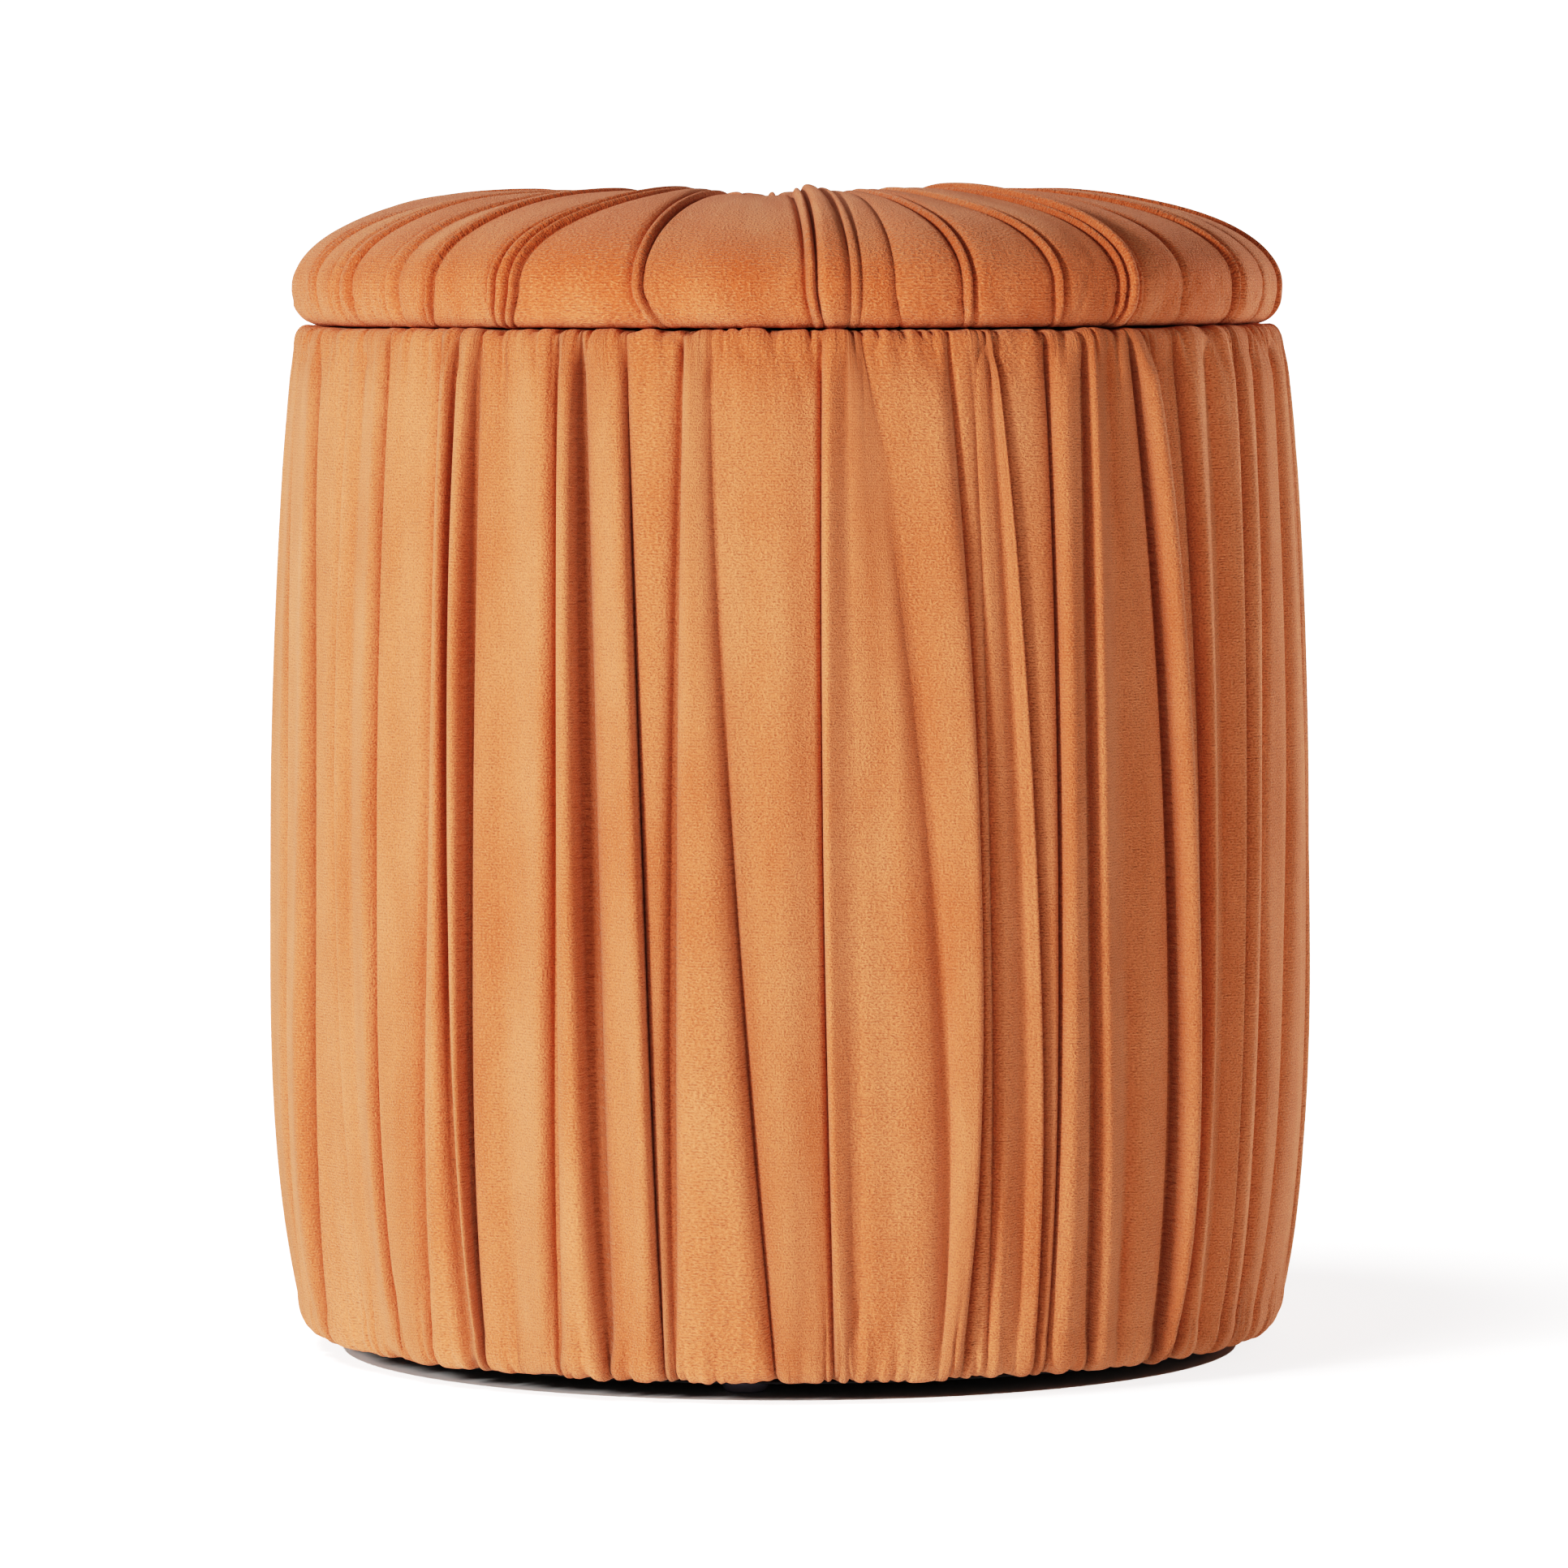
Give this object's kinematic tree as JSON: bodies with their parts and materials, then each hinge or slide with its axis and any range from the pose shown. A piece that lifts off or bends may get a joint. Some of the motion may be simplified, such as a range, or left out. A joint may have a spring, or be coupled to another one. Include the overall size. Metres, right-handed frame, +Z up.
{
  "type": "storage ottoman",
  "caption": "Round barrel-shaped upholstered stool in gathered velvet, hollow inside for storage, with a padded lift-off lid.",
  "frame": {"origin": "centre of the circle that the four feet stand on, at floor level", "axes": "+Z up along the drum's axis, -Y towards the front, +X to the right seen from the front"},
  "size_m": [0.406, 0.406, 0.456],
  "materials": {
    "velvet": "short-pile burnt-orange velvet, gathered",
    "lining": "black non-woven cloth",
    "foam": "open-cell cream polyurethane foam",
    "plywood": "sanded, unfinished",
    "softwood": "planed, unfinished",
    "hardboard": "smooth pressed fibre",
    "card": "plain",
    "foot_plastic": "moulded, slightly translucent grey",
    "zinc_steel": "bright zinc plate",
    "twine": "waxed nylon upholstery twine"
  },
  "bodies": {
    "base": {"base_board": "plywood", "mouth_ring": "plywood", "post_1": "softwood", "post_2": "softwood", "post_3": "softwood", "post_4": "softwood", "post_5": "softwood", "post_6": "softwood", "base_screw_1": "zinc_steel", "base_screw_2": "zinc_steel", "base_screw_3": "zinc_steel", "base_screw_4": "zinc_steel", "base_screw_5": "zinc_steel", "base_screw_6": "zinc_steel", "ring_screw_1": "zinc_steel", "ring_screw_2": "zinc_steel", "ring_screw_3": "zinc_steel", "ring_screw_4": "zinc_steel", "ring_screw_5": "zinc_steel", "ring_screw_6": "zinc_steel", "foot_screw_1": "zinc_steel", "foot_screw_2": "zinc_steel", "foot_screw_3": "zinc_steel", "foot_screw_4": "zinc_steel", "drum_skin": "hardboard", "foam_sleeve": "foam", "body_cover": "velvet", "lining_wall": "lining", "storage_floor": "lining", "dust_cover": "lining", "tack_strip": "card", "foot_1": "foot_plastic", "foot_2": "foot_plastic", "foot_3": "foot_plastic", "foot_4": "foot_plastic"},
    "lid": {"lid_board": "plywood", "locating_disc": "plywood", "lid_foam": "foam", "lid_cover": "velvet", "lid_lining": "lining", "tuft_button": "velvet", "twine_washer": "zinc_steel", "tuft_twine": "twine", "disc_screw_1": "zinc_steel", "disc_screw_2": "zinc_steel", "disc_screw_3": "zinc_steel", "disc_screw_4": "zinc_steel"}
  },
  "joints": [
    {"name": "lid_lift", "type": "slide", "parent": "base", "child": "lid", "axis": [0, 0, 1], "range_m": [0, 0.25]}
  ]
}
